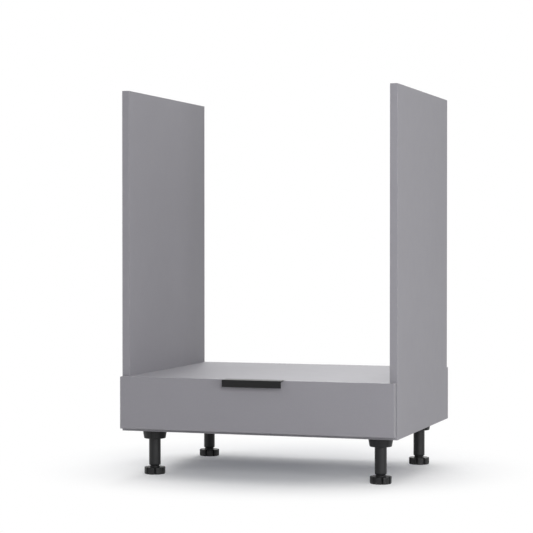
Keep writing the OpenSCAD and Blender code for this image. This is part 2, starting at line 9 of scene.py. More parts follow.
import bmesh
import bpy
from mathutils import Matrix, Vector


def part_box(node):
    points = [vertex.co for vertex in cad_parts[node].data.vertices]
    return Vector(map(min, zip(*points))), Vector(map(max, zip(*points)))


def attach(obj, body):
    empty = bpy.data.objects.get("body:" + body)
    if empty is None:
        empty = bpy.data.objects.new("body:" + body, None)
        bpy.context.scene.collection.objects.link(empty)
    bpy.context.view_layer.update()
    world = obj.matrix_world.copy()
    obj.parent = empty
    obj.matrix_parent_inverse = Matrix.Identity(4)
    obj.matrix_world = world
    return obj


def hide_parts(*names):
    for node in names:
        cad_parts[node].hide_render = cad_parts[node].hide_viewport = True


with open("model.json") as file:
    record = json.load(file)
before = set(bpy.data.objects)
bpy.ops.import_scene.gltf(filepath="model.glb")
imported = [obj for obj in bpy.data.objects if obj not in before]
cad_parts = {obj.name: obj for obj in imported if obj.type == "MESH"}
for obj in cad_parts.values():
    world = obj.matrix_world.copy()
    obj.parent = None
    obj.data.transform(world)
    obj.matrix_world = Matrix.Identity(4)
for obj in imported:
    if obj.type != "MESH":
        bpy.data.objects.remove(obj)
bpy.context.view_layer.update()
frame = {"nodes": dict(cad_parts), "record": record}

MM = 0.001
FULL_TURN = 2 * math.pi
QUARTER = math.pi / 2
ORIGIN = (0.0, 0.0, 0.0)
UNTURNED = (0.0, 0.0, 0.0)
EVEN = (1.0, 1.0, 1.0)

# The camera that the photo was taken with
CAMERA_PLACE = (1.1678, -3.6885, 0.4991)
CAMERA_TURN = (math.radians(89.178), 0.0, math.radians(18.274))
CAMERA_LENS = 119.6
SENSOR_WIDTH = 36.0

# The studio: each lamp's place, what it points at, its width and height, and its strength in watts
LAMP_AIM = (0.0, 0.0, 0.4)
STRIP_AIM = (0.0, 0.0, 0.3)
LAMPS = {
    "top_softbox": ((0.0, 0.0, 3.4), LAMP_AIM, (3.2, 3.2), 7.5),
    "left_overhead_softbox": ((-1.8, 0.0, 3.2), LAMP_AIM, (1.4, 1.4), 19.0),
    "back_softbox": ((0.0, 2.6, 2.8), LAMP_AIM, (2.4, 2.4), 92.0),
    "back_left_overhead_softbox": ((-1.2, 1.3, 3.3), LAMP_AIM, (1.4, 1.4), 8.5),
    "front_left_softbox": ((-2.2, -2.0, 2.8), LAMP_AIM, (2.0, 2.0), 18.0),
    "front_right_softbox": ((1.9, -3.9, 1.6), LAMP_AIM, (1.8, 2.0), 92.0),
    "near_right_strip": ((2.12, -1.43, 0.5), STRIP_AIM, (0.5, 0.9), 13.5),
    "right_softbox": ((3.8, -0.4, 1.3), LAMP_AIM, (2.2, 2.0), 16.0),
}
WHITE = (1.0, 1.0, 1.0, 1.0)
WHITE_STRENGTH = 1.0
ROOM_STRENGTH = 0.0
FLOOR_SIZE = 30.0
FLOOR_COLOUR = (0.8, 0.8, 0.8, 1.0)
FLOOR_SHOWN_COLOUR = (0.9, 0.9, 0.9, 1.0)
FLOOR_GLOW_COLOUR = (0.94, 1.0, 1.1, 1.0)
FLOOR_GLOW_STRENGTH = 0.115
# The floor turns white over this range, measured from a point a little behind the middle
FLOOR_CENTRE = (-0.03, 0.07, 0.0)
FLOOR_TURNS_WHITE = (0.21, 0.59)

# Colours, as written and as they render
MELAMINE = (0.2705, 0.2645, 0.29)
MELAMINE_DARK = (0.2655, 0.2595, 0.285)
MELAMINE_FLECK = (0.286, 0.28, 0.306)
MELAMINE_WORN = (0.33, 0.325, 0.34)
CHIP_LIGHT = (0.6, 0.45, 0.28)
CHIP_DARK = (0.36, 0.25, 0.15)
CHIP_DUST = (0.56, 0.44, 0.3)
CHIP_GAP = (0.12, 0.085, 0.055)
BANDING = (0.2705, 0.2645, 0.29)
BANDING_DARK = (0.266, 0.26, 0.2855)
BANDING_LINE = (0.28, 0.274, 0.3)
BANDING_WORN = (0.34, 0.336, 0.35)
ZINC = (0.62, 0.64, 0.67)
ZINC_TARNISH = (0.5, 0.51, 0.52)
EPOXY = (0.64, 0.65, 0.66)
EPOXY_SHADE = (0.6, 0.61, 0.62)
EPOXY_RUBBED = (0.4, 0.4, 0.41)
PULL = (0.012, 0.012, 0.0125)
PULL_DARK = (0.008, 0.008, 0.0083)
PULL_WORN = (0.045, 0.045, 0.047)
NYLON = (0.76, 0.755, 0.72)
NYLON_SHADE = (0.72, 0.71, 0.67)
NYLON_RUBBED = (0.42, 0.42, 0.41)
PLASTIC = (0.0135, 0.0138, 0.0149)
PLASTIC_DARK = (0.0095, 0.0098, 0.0107)
PLASTIC_DUST = (0.04, 0.039, 0.037)
BEECH = (0.62, 0.43, 0.26)
BEECH_DARK = (0.5, 0.33, 0.19)
BEECH_FLECK = (0.3, 0.18, 0.1)

WHOLE = (0.0, 1.0)
SOFTLY = (0.3, 0.7)


def pattern(size, detail, shows=SOFTLY, stretch=EVEN):
    """A noise: its grain in metres, its detail, which part of its range shows, and its stretch."""
    return {"size": size, "detail": detail, "shows": shows, "stretch": stretch}


# Patterns on the finishes. A stretch well under 1 draws a pattern out along that axis
EDGE_WEAR = pattern(0.009, 3.0, (0.42, 0.62))
SKIN_CLOUDS = pattern(0.11, 3.0)
SKIN_SPECKLE = pattern(0.0011, 2.0, (0.52, 0.72))
SKIN_MARKS = pattern(0.03, 4.0, (0.35, 0.7))
SKIN_GRAIN = pattern(0.0009, 3.0)
CHIP_FINES = pattern(0.0006, 4.0, (0.35, 0.7))
BAND_CLOUDS = pattern(0.03, 3.0)
BAND_LINES = pattern(0.0007, 2.0, (0.45, 0.75), (1.0, 1.0, 0.05))
BAND_MARKS = pattern(0.02, 3.0)
ZINC_SPOTS = pattern(0.002, 3.0, (0.4, 0.75))
ZINC_MARKS = pattern(0.0012, 4.0)
ZINC_GRAIN = pattern(0.0004, 3.0)
SHEET_CLOUDS = pattern(0.04, 2.0)
SHEET_RUBS = pattern(0.0022, 4.0, (0.58, 0.74), (1.0, 0.03, 1.0))
ORANGE_PEEL = pattern(0.0018, 2.0)
BRUSHING = pattern(0.0003, 3.0, (0.35, 0.7), (0.02, 1.0, 1.0))
NYLON_CLOUDS = pattern(0.002, 2.0)
NYLON_RUBS = pattern(0.004, 4.0, (0.5, 0.75))
NYLON_GRAIN = pattern(0.0006, 2.0)
FLOW_MARKS = pattern(0.014, 3.0, stretch=(1.0, 1.0, 0.4))
FLOOR_DUST = pattern(0.0025, 4.0, (0.42, 0.7))
PLASTIC_MARKS = pattern(0.006, 3.0)
PLASTIC_GRAIN = pattern(0.00035, 2.0)
WOOD_RINGS = pattern(0.0012, 3.0, (0.35, 0.7), (0.06, 1.0, 1.0))
WOOD_FLECKS = pattern(0.0005, 2.0, (0.62, 0.75), (0.15, 1.0, 1.0))

# Roughness, from the smoothest to the roughest patch
MELAMINE_ROUGH = (0.538, 0.562)
CHIP_ROUGH = 0.85
BANDING_ROUGH = (0.42, 0.52)
ZINC_ROUGH = (0.26, 0.46)
EPOXY_ROUGH = (0.34, 0.5)
PULL_ROUGH = (0.36, 0.5)
NYLON_ROUGH = (0.32, 0.5)
PLASTIC_ROUGH = (0.38, 0.43)
BEECH_ROUGH = (0.6, 0.75)

# How deep each grain is pressed in
MELAMINE_EMBOSS = 0.000015
BANDING_EMBOSS = 0.000012
ZINC_EMBOSS = 0.000006
EPOXY_EMBOSS = 0.00003
PULL_EMBOSS = 0.000008
NYLON_EMBOSS = 0.00001
PLASTIC_EMBOSS = 0.0000015
BEECH_EMBOSS = 0.00003

# How far wear and rubbing cover the colour below
MELAMINE_WEAR = 0.5
EPOXY_RUB = 0.45
PULL_WEAR = 0.6
NYLON_RUB = 0.35
FLECK_SHARE = (0.0, 0.6)

# Gloss, how milky the nylon is and how deep light goes into it, and where dust starts and is full
PULL_GLOSS = 0.2
PLASTIC_GLOSS = 0.3
NYLON_MILKINESS = 0.08
NYLON_LIGHT_DEPTHS = (0.002, 0.002, 0.0015)
DUST_HEIGHTS = (0.012, 0.0005)

# How squarely a surface faces along an axis, for an eased edge and for a raw side
EDGE_SQUARENESS = (0.98, 0.85)
RAW_SQUARENESS = (0.9, 0.97)

# Chipboard between its two paper skins
SKIN_THICK = 0.0003
SKIN_BLEND = 0.0001
CHIPS_PER_METRE = 420.0
CHIP_FLATNESS = 2.6
CHIP_RELIEF = 6.0
CHIP_MIDDLE_TO_RIM = (0.1, 0.9)
CHIP_TO_GAP = (1.0, 0.0)
GAP_SHOWS = (0.0, 0.35)
GAP_SHARE = (0.55, 0.0)

# The colour mixer's sockets: its two colours, and what comes out
MIX_COLOURS = (6, 7)
MIXED_COLOUR = 2

# Boards with raw sides: the axis across the board, and each raw side as an axis and a sign
RAW_BOARDS = [
    ("side_panel_left", 0, ((1, 1.0), (2, 1.0), (2, -1.0))),
    ("side_panel_right", 0, ((1, 1.0), (2, 1.0), (2, -1.0))),
    ("back_board", 1, ((2, -1.0),)),
    ("drawer_bottom", 2, ((0, 1.0), (0, -1.0), (1, 1.0))),
    ("drawer_back", 1, ((0, 1.0), (0, -1.0))),
]

# Shaping: what counts as the same place, a straight face and a sharp edge, and how fine a round is
NEAR = 1e-5
SEAM = 1e-6
STRAIGHT = 0.9
SHARP = math.radians(35.0)
SMOOTH_UNDER = math.radians(40.0)
ROUND_PROFILE = 0.5
CHAMFER = 1
EASE_STEPS = 2
FOOT_EASE_STEPS = 3
ROUND_STEPS = 4
FOLD_STEPS = 5
FLUTE_STEPS = 16
HOLE_STEPS = 24
SCREW_STEPS = 32
PIN_STEPS = 48
TURN_STEPS = 64
FOOT_STEPS = 96
BACKWARDS = (0.0, 1.0, 0.0)
UPWARDS = (0.0, 0.0, 1.0)
FACING_BACK = (-QUARTER, 0.0, 0.0)
FACING_FRONT = (QUARTER, 0.0, 0.0)
FACING_DOWN = (math.pi, 0.0, 0.0)
ON_ITS_SIDE = (0.0, QUARTER, 0.0)

# Boards, bands and handle
OVER = 0.001
BOARD_EASE = 0.0002
BAND_ROUND = 0.0007
GLUE_LINE = 0.00012
REBATE_END = 0.0002
HANDLE_SHEET = 0.0015
HANDLE_FOLD = 0.0005
HANDLE_EASE = 0.0002
LIP_DROP = 0.0135
LEG_DROP = 0.0345

# From here on in mm. An outline is drawn by its radius and height, as for a lathe
HANDLE_SCREW_XS = (-46.08, 46.08)
HANDLE_SCREW_Z = 185.3
HANDLE_LEG_Y = -220.25
HANDLE_HOLE_OUTLINE = [(0, -4), (1.85, -4), (1.85, 4), (0, 4)]

CAM_XS = (-250.0, 250.0)
CAM_YS = (-99.0, 121.0)
CAM_OUTLINE = [
    (0, 0.3), (4.6, 0.3), (5.0, 0.0), (7.2, 0), (7.5, 0.3), (7.5, 12.2), (7.2, 12.48), (0, 12.48)]
CAM_SLOT = ((-5.25, -0.8, -1.0), (5.25, 0.8, 2.0))
CAM_EASE = 0.15
POCKET_OUTLINE = [(0, -1), (7.6, -1), (7.6, 12.58), (0, 12.58)]

SOCKET_OUTLINE = [
    (0, 0), (26.2, 0), (26.5, -0.3), (26.4, -0.9), (23.256, -19.0), (23.1, -19.6), (22.7, -20.1),
    (22.1, -20.4), (21.4, -20.5), (20.8, -20.5), (20.6, -20.3), (23.7, -3.1), (23.2, -2.5),
    (15.0, -2.5), (14.6, -2.9), (14.6, -19.2), (14.3, -19.5), (12.9, -19.5), (12.6, -19.2),
    (12.6, -2.5), (0, -2.5)]
SOCKET_RIB = ((13.6, -0.8, -18.5), (21.8, 0.8, -1.2))
SOCKET_EASE = 0.25
SOCKET_FLUTES = 8
FLUTE_OUTLINE = [(0, -40), (1.1, -40), (1.1, 0), (0.8, 0.8), (0, 1.1)]
FLUTE_PLACE = (26.1, 0.0, -3.6)
FLUTE_LEAN = (0.0, math.atan(3.5 / 20.5), 0.0)
FLUTE_TURN = math.radians(4.0)
LEG_SCREWS = 4
LEG_SCREW_RADIUS = 19.3
LEG_SCREW_TURN = math.radians(26.5)
LEG_SCREW_Z = 94.5
LEG_HOLE_OUTLINE = [(0, -6), (2.2, -6), (2.2, 3), (0, 3)]

TUBE_OUTLINE = [
    (10.05, 19.4), (10.4, 19.0), (11.3, 19.0), (11.75, 19.3), (12.1, 20.1), (12.35, 21.2),
    (12.48, 22.4), (12.5, 23.5), (12.5, 94.5), (10.05, 94.5), (10.05, 19.4)]

STEM_LOW = 17.05
STEM_TOP = 62.05
THREAD_CORE = 8.7
THREAD_PITCH = 4.0
THREAD_TURNS = 13
THREAD_TURN_STEPS = 48
THREAD_STROKES = [
    (0.0, 0.5), (0.9, 0.75), (0.35, 0.35), (0.0, 0.8), (-0.35, 0.35), (-0.9, 0.75), (0.0, 0.5)]
SPIGOT_OUTLINE = [
    (0, 9.05), (4.7, 9.05), (5.0, 9.35), (5.0, 17.4), (8.6, 17.4), (8.6, 18.5), (0, 18.5)]
STEM_TIP_OUTLINE = [
    (11.95, 60.55), (11.95, 63.05), (8.1, 63.05), (8.1, 62.05), (10.05, 60.55), (11.95, 60.55)]

FOOT_LOBES = 8
FOOT_TURNS = {"front": math.radians(22.5), "rear": 0.0}
FOOT_R = 22.5
FOOT_EASE = 0.4
FOOT_OUTLINE = [
    (0, 0), (8.2, 0), (8.5, 0.3), (8.5, 12), (17.5, 12), (17.5, 0.3), (17.8, 0), (20.0, 0),
    (20.7, 0.1), (21.4, 0.4), (21.95, 0.9), (22.33, 1.5), (22.5, 2.3), (22.5, 14.0), (22.42, 14.4),
    (22.2, 14.75), (21.85, 14.95), (21.5, 15.0), (11.2, 15.0), (11.0, 15.2), (11.0, 16.7),
    (10.7, 17.0), (5.3, 17.0), (5.05, 16.8), (5.05, 8.95), (0, 8.95)]
FOOT_RIB = ((7.9, -0.8, 2.5), (18.2, 0.8, 13.0))
NOTCH_HALF = 2.5
NOTCH_END = 17.95
NOTCH_BLOCK = ((-NOTCH_HALF, -25.0, -3.0), (NOTCH_HALF, -NOTCH_END, 20.0))
NOTCH_CORNER = 2.3
NOTCH_EASE = 0.8
MOUTH_RADIUS = FOOT_R - 0.5
MOUTH_TURN = math.asin(NOTCH_HALF / FOOT_R)
MOUTH_SLACK = math.radians(1.0)

ROLLER_OUTLINE = [
    (2.55, -3.6), (4.3, -3.6), (4.5, -3.4), (4.5, -2.8), (7.4, -2.8), (7.4, -3.4), (7.6, -3.6),
    (9.0, -3.6), (9.5, -3.5), (9.85, -3.2), (10.0, -2.7), (10.0, 2.7), (9.85, 3.2), (9.5, 3.5),
    (9.0, 3.6), (7.6, 3.6), (7.4, 3.4), (7.4, 2.8), (4.5, 2.8), (4.5, 3.4), (4.3, 3.6),
    (2.55, 3.6), (2.55, -3.6)]
RAIL_PIN_OUTLINE = [
    (0, 0), (2.5, 0), (2.5, 1.2), (3.9, 1.2), (4.0, 1.3), (4.0, 2.7), (3.9, 2.8), (2.5, 2.8),
    (2.5, 10.6), (4.0, 10.6), (4.0, 10.8), (3.7, 11.1), (3.0, 11.3), (2.0, 11.4), (0, 11.4)]
DRAWER_PIN_OUTLINE = [
    (0, 0), (2.5, 0), (2.5, 1.2), (3.9, 1.2), (4.0, 1.3), (4.0, 3.7), (3.9, 3.8), (2.5, 3.8),
    (2.5, 11.6), (4.0, 11.6), (4.0, 11.8), (3.7, 12.1), (3.0, 12.3), (2.0, 12.4), (0, 12.4)]

# Screws: the shaft's width, the length, the head's width and height, the cross's width and depth
SCREWS = {
    "sunk_long": (3.5, 35.0, 7.0, 0.0, 4.2, 2.2),
    "sunk_short": (4.0, 13.0, 7.4, 0.0, 4.2, 2.0),
    "domed_wide": (4.0, 13.0, 6.6, 2.0, 3.8, 1.9),
    "domed": (3.5, 12.0, 6.6, 2.0, 3.8, 1.9),
}
SUNK_RIM = 0.15
SUNK_NECK = 0.1
DOME = [(0.45, 0.96), (0.75, 0.78), (0.94, 0.45), (1.0, 0.15)]
RECESS_BLADE = 0.95
RECESS_OVER = 1.0
RECESS_TAPER = (0.35, 0.6, 1.0)
BACK_SCREWS = [(x, 253.0, z) for x in (-292.0, 292.0) for z in (127.16, 182.84)] + \
              [(x, 253.0, z) for x in (-180.0, 180.0) for z in (105.0, 205.0)]
RAIL_SCREWS = [(x, y, 138.1) for x in (-282.8, 282.8) for y in (-163.0, 8.0, 179.0)]
HANDLE_SCREWS = [(x, -219.5, HANDLE_SCREW_Z) for x in HANDLE_SCREW_XS]
BRACKET_SCREWS = [(x, -219.5, z) for x in (-256.6, 256.6) for z in (145.79, 159.425)] + \
                 [(x, 211.5, z) for x in (-259.2, 259.2) for z in (145.79, 159.425)]
LEDGE_SCREWS = [(x, y, 119.0) for x in (-256.5, 256.5) for y in (-156.0, 6.0, 168.0)]
BASE_SCREWS = [(x, 221.0, 120.2) for x in (-180.0, 0.0, 180.0)]

SIDES = ("left", "right")
CORNERS = ("front_left", "front_right", "rear_left", "rear_right")


# Shader tools


def plug(tree, made, inputs):
    """Gives a shader node's inputs a value or a link each."""
    for socket, value in inputs.items():
        if isinstance(value, bpy.types.NodeSocket):
            tree.links.new(value, made.inputs[socket])
        else:
            made.inputs[socket].default_value = value
    return made


def add_node(tree, kind, inputs):
    return plug(tree, tree.nodes.new(kind), inputs)


def sum_up(tree, kind, first, second=0.0):
    """A sum, product or the like of two values, each a socket or a number."""
    made = add_node(tree, "ShaderNodeMath", {0: first, 1: second})
    made.operation = kind
    return made.outputs[0]


def times(tree, first, second):
    return sum_up(tree, "MULTIPLY", first, second)


def larger(tree, first, second):
    return sum_up(tree, "MAXIMUM", first, second)


def spread(tree, value, shows, to=WHOLE):
    """Maps a value's range softly onto another, without going past its ends."""
    ramp = add_node(tree, "ShaderNodeMapRange", {
        "Value": value, "From Min": shows[0], "From Max": shows[1],
        "To Min": to[0], "To Max": to[1]})
    ramp.interpolation_type = "SMOOTHSTEP"
    return ramp.outputs["Result"]


def where_on_piece(tree, stretch=EVEN):
    """Object coordinates, stretched where a pattern runs along a piece."""
    place = tree.nodes.new("ShaderNodeTexCoord").outputs["Object"]
    fitted = add_node(tree, "ShaderNodeMapping", {"Scale": stretch, "Vector": place})
    return fitted.outputs["Vector"]


def grain(tree, kind):
    """A pattern's soft noise from 0 to 1."""
    return add_node(tree, "ShaderNodeTexNoise", {
        "Scale": 1.0 / kind["size"], "Detail": kind["detail"],
        "Vector": where_on_piece(tree, kind["stretch"])}).outputs["Fac"]


def seen(tree, kind, to=WHOLE):
    """A pattern's noise with the part that shows spread over a range."""
    return spread(tree, grain(tree, kind), kind["shows"], to)


def tint(tree, share, first, second):
    """Mixes two colours, each a socket or a written colour."""
    made = tree.nodes.new("ShaderNodeMix")
    made.data_type = "RGBA"
    colours = [(*colour, 1.0) if isinstance(colour, tuple) else colour
               for colour in (first, second)]
    plug(tree, made, {"Factor": share, **dict(zip(MIX_COLOURS, colours))})
    return made.outputs[MIXED_COLOUR]


def parts_of(tree, vector):
    return add_node(tree, "ShaderNodeSeparateXYZ", {0: vector}).outputs


def facing(tree):
    """The three parts of the way that the surface faces."""
    return parts_of(tree, tree.nodes.new("ShaderNodeTexCoord").outputs["Normal"])


# Studio


def stand(name, data, place, turn):
    """Puts a camera or a lamp in the scene."""
    made = bpy.data.objects.new(name, data)
    bpy.context.scene.collection.objects.link(made)
    made.location = place
    made.rotation_euler = turn
    return made


def make_camera():
    data = bpy.data.cameras.new("photo_camera")
    data.lens = CAMERA_LENS
    data.sensor_width = SENSOR_WIDTH
    bpy.context.scene.camera = stand("photo_camera", data, CAMERA_PLACE, CAMERA_TURN)


def make_lamps():
    for name, (place, aim, (width, height), strength) in LAMPS.items():
        data = bpy.data.lights.new(name, "AREA")
        data.shape = "RECTANGLE"
        data.size = width
        data.size_y = height
        data.energy = strength
        turn = (Vector(aim) - Vector(place)).to_track_quat("-Z", "Y").to_euler()
        stand(name, data, place, turn).visible_camera = False


def seen_directly(tree):
    """1 for rays from the camera, a mirror or a glass, and 0 for the rays that light the object."""
    rays = tree.nodes.new("ShaderNodeLightPath").outputs
    mirrored = larger(tree, rays["Is Camera Ray"], rays["Is Glossy Ray"])
    return larger(tree, mirrored, rays["Is Transmission Ray"])


def make_room():
    """A room without light of its own, and white where it is seen."""
    world = bpy.data.worlds.new("studio")
    world.use_nodes = True
    tree = world.node_tree
    tree.nodes.clear()
    room = add_node(tree, "ShaderNodeBackground", {"Color": WHITE, "Strength": ROOM_STRENGTH})
    white = add_node(tree, "ShaderNodeBackground", {"Color": WHITE, "Strength": WHITE_STRENGTH})
    mix = add_node(tree, "ShaderNodeMixShader", {
        0: seen_directly(tree), 1: room.outputs[0], 2: white.outputs[0]})
    add_node(tree, "ShaderNodeOutputWorld", {"Surface": mix.outputs[0]})
    bpy.context.scene.world = world


def make_floor():
    """A floor that keeps the object's shadow and turns white around it."""
    bpy.ops.object.select_all(action="DESELECT")
    bpy.ops.mesh.primitive_plane_add(size=FLOOR_SIZE)
    floor = bpy.context.object
    floor.name = "studio_floor"
    material = bpy.data.materials.new("studio_floor")
    material.use_nodes = True
    tree = material.node_tree
    tree.nodes.clear()
    lit = add_node(tree, "ShaderNodeBsdfDiffuse", {"Color": FLOOR_COLOUR})
    shown = add_node(tree, "ShaderNodeBsdfDiffuse", {"Color": FLOOR_SHOWN_COLOUR})
    glow = add_node(tree, "ShaderNodeEmission", {
        "Color": FLOOR_GLOW_COLOUR, "Strength": FLOOR_GLOW_STRENGTH})
    lifted = add_node(tree, "ShaderNodeAddShader", {0: shown.outputs[0], 1: glow.outputs[0]})
    white = add_node(tree, "ShaderNodeEmission", {"Color": WHITE, "Strength": WHITE_STRENGTH})
    place = tree.nodes.new("ShaderNodeTexCoord").outputs["Object"]
    away = add_node(tree, "ShaderNodeVectorMath", {0: place, 1: FLOOR_CENTRE})
    away.operation = "DISTANCE"
    fade = spread(tree, away.outputs["Value"], FLOOR_TURNS_WHITE)
    far = add_node(tree, "ShaderNodeMixShader", {
        0: fade, 1: lifted.outputs[0], 2: white.outputs[0]})
    mix = add_node(tree, "ShaderNodeMixShader", {
        0: seen_directly(tree), 1: lit.outputs[0], 2: far.outputs[0]})
    add_node(tree, "ShaderNodeOutputMaterial", {"Surface": mix.outputs[0]})
    floor.data.materials.append(material)


# Finishes. Every pattern reads Object coordinates


def new_finish(name, constants=None):
    """A finish and its shader tree, with constants set on its surface."""
    finish = bpy.data.materials.new(name)
    finish.use_nodes = True
    tree = finish.node_tree
    plug(tree, tree.nodes["Principled BSDF"], constants or {})
    return finish, tree


def dressed(finish, colour, rough, height, deep):
    """Gives a finish its colour, its roughness, and a pattern pressed in this many metres deep."""
    tree = finish.node_tree
    bump = add_node(tree, "ShaderNodeBump", {"Distance": deep, "Height": height})
    plug(tree, tree.nodes["Principled BSDF"], {
        "Base Color": colour, "Roughness": rough, "Normal": bump.outputs["Normal"]})
    return finish


def worn_edges(tree):
    """1 along the eased edges of a squared piece, in patches, and 0 on its flat faces."""
    x, y, z = (sum_up(tree, "ABSOLUTE", part) for part in facing(tree))
    flattest = larger(tree, larger(tree, x, y), z)
    return times(tree, spread(tree, flattest, EDGE_SQUARENESS), seen(tree, EDGE_WEAR))


def bare_share(tree, across, centre, half, raw):
    """1 where chipboard shows: on the raw sides, between the two paper skins."""
    faced = facing(tree)
    share = None
    for axis, sign in raw:
        one = spread(tree, times(tree, faced[axis], sign), RAW_SQUARENESS)
        share = one if share is None else larger(tree, share, one)
    place = parts_of(tree, where_on_piece(tree))[across]
    off = sum_up(tree, "ABSOLUTE", sum_up(tree, "SUBTRACT", place, centre))
    skin = half - SKIN_THICK
    return times(tree, share, spread(tree, off, (skin, skin - SKIN_BLEND)))


def chipboard(tree, across):
    """Pressed chips, lying flat in the board, with dark gaps between them."""
    flat = tuple(CHIP_FLATNESS if axis == across else 1.0 for axis in range(3))
    cells = add_node(tree, "ShaderNodeTexVoronoi", {
        "Scale": CHIPS_PER_METRE, "Vector": where_on_piece(tree, flat)}).outputs
    wood = tint(tree, parts_of(tree, cells["Color"])[0], CHIP_DARK, CHIP_LIGHT)
    dusted = tint(tree, seen(tree, CHIP_FINES), wood, CHIP_DUST)
    gaps = spread(tree, cells["Distance"], CHIP_MIDDLE_TO_RIM, CHIP_TO_GAP)
    return tint(tree, spread(tree, gaps, GAP_SHOWS, GAP_SHARE), dusted, CHIP_GAP), gaps


def melamine(name, across=None, centre=0.0, half=0.0, raw=()):
    """Melamine board: grey skins with slight clouds, fine speckle and faint hand marks, and bare
    chipboard on the raw sides, with the skins' edges drawn in."""
    finish, tree = new_finish(name)
    clouds = tint(tree, seen(tree, SKIN_CLOUDS), MELAMINE_DARK, MELAMINE)
    speckled = tint(tree, seen(tree, SKIN_SPECKLE), clouds, MELAMINE_FLECK)
    colour = tint(tree, times(tree, worn_edges(tree), MELAMINE_WEAR), speckled, MELAMINE_WORN)
    rough = seen(tree, SKIN_MARKS, MELAMINE_ROUGH)
    height = grain(tree, SKIN_GRAIN)
    if raw:
        share = bare_share(tree, across, centre, half, raw)
        chips, gaps = chipboard(tree, across)
        colour = tint(tree, share, colour, chips)
        rough = larger(tree, rough, times(tree, share, CHIP_ROUGH))
        relief = times(tree, times(tree, share, gaps), CHIP_RELIEF)
        height = sum_up(tree, "ADD", height, relief)
    return dressed(finish, colour, rough, height, MELAMINE_EMBOSS)


def edge_band():
    """ABS banding in the boards' grey: smoother, with fine drawn lines, paler where it is worn."""
    finish, tree = new_finish("grey_banding")
    lines = grain(tree, BAND_LINES)
    base = tint(tree, seen(tree, BAND_CLOUDS), BANDING_DARK, BANDING)
    lined = tint(tree, spread(tree, lines, BAND_LINES["shows"]), base, BANDING_LINE)
    colour = tint(tree, worn_edges(tree), lined, BANDING_WORN)
    return dressed(finish, colour, seen(tree, BAND_MARKS, BANDING_ROUGH), lines, BANDING_EMBOSS)


def zinc_plate():
    """Bright zinc plating, a little blue, with soft tarnish."""
    finish, tree = new_finish("zinc_plate", {"Metallic": 1.0})
    colour = tint(tree, seen(tree, ZINC_SPOTS), ZINC, ZINC_TARNISH)
    return dressed(finish, colour, seen(tree, ZINC_MARKS, ZINC_ROUGH), grain(tree, ZINC_GRAIN),
                   ZINC_EMBOSS)


def coated_sheet():
    """Sheet steel under pale epoxy: orange peel, and grey rub marks along the way it runs."""
    finish, tree = new_finish("coated_sheet")
    rubs = seen(tree, SHEET_RUBS)
    colour = tint(tree, seen(tree, SHEET_CLOUDS), EPOXY_SHADE, EPOXY)
    colour = tint(tree, times(tree, rubs, EPOXY_RUB), colour, EPOXY_RUBBED)
    return dressed(finish, colour, spread(tree, rubs, WHOLE, EPOXY_ROUGH), grain(tree, ORANGE_PEEL),
                   EPOXY_EMBOSS)


def black_pull():
    """Black anodised aluminium, brushed along its length, with greyed edges."""
    finish, tree = new_finish("black_pull", {"Specular IOR Level": PULL_GLOSS})
    brush = grain(tree, BRUSHING)
    base = tint(tree, spread(tree, brush, BRUSHING["shows"]), PULL_DARK, PULL)
    colour = tint(tree, times(tree, worn_edges(tree), PULL_WEAR), base, PULL_WORN)
    return dressed(finish, colour, spread(tree, brush, SOFTLY, PULL_ROUGH), brush, PULL_EMBOSS)


def roller_nylon():
    """Off-white nylon with a faint moulded grain and grey rubbed into it."""
    finish, tree = new_finish("roller_nylon", {
        "Subsurface Weight": NYLON_MILKINESS, "Subsurface Radius": NYLON_LIGHT_DEPTHS,
        "Subsurface Scale": 1.0})
    rubbed = seen(tree, NYLON_RUBS)
    colour = tint(tree, seen(tree, NYLON_CLOUDS), NYLON_SHADE, NYLON)
    colour = tint(tree, times(tree, rubbed, NYLON_RUB), colour, NYLON_RUBBED)
    return dressed(finish, colour, spread(tree, rubbed, WHOLE, NYLON_ROUGH),
                   grain(tree, NYLON_GRAIN), NYLON_EMBOSS)


def leg_black():
    """Black moulded plastic: fine eroded grain, flow marks, and floor dust low on the feet."""
    finish, tree = new_finish("leg_black", {"Specular IOR Level": PLASTIC_GLOSS})
    colour = tint(tree, seen(tree, FLOW_MARKS), PLASTIC_DARK, PLASTIC)
    low = spread(tree, parts_of(tree, where_on_piece(tree))[2], DUST_HEIGHTS)
    colour = tint(tree, times(tree, low, seen(tree, FLOOR_DUST)), colour, PLASTIC_DUST)
    return dressed(finish, colour, seen(tree, PLASTIC_MARKS, PLASTIC_ROUGH),
                   grain(tree, PLASTIC_GRAIN), PLASTIC_EMBOSS)


def beech_wood():
    """Turned beech: pale grain along the dowel, with short dark flecks."""
    finish, tree = new_finish("beech_wood")
    rings = grain(tree, WOOD_RINGS)
    colour = tint(tree, spread(tree, rings, WOOD_RINGS["shows"]), BEECH_DARK, BEECH)
    colour = tint(tree, seen(tree, WOOD_FLECKS, FLECK_SHARE), colour, BEECH_FLECK)
    return dressed(finish, colour, spread(tree, rings, SOFTLY, BEECH_ROUGH), rings, BEECH_EMBOSS)


def make_finishes():
    """A finish for each material slot, and one for each board with raw sides."""
    made = {
        "laminate": melamine("grey_melamine"),
        "banding": edge_band(),
        "zinc": zinc_plate(),
        "beech": beech_wood(),
        "coated_steel": coated_sheet(),
        "handle_black": black_pull(),
        "nylon": roller_nylon(),
        "leg_plastic": leg_black(),
    }
    for node, across, raw in RAW_BOARDS:
        low, high = (corner[across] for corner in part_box(node))
        made[node] = melamine(
            "grey_melamine_" + node, across, (low + high) / 2, (high - low) / 2, raw)
    return made


# Hand tools: each one does what a modeller does by hand, and leaves the piece at the origin


def take(piece):
    """Selects a piece alone."""
    bpy.ops.object.select_all(action="DESELECT")
    piece.select_set(True)
    bpy.context.view_layer.objects.active = piece


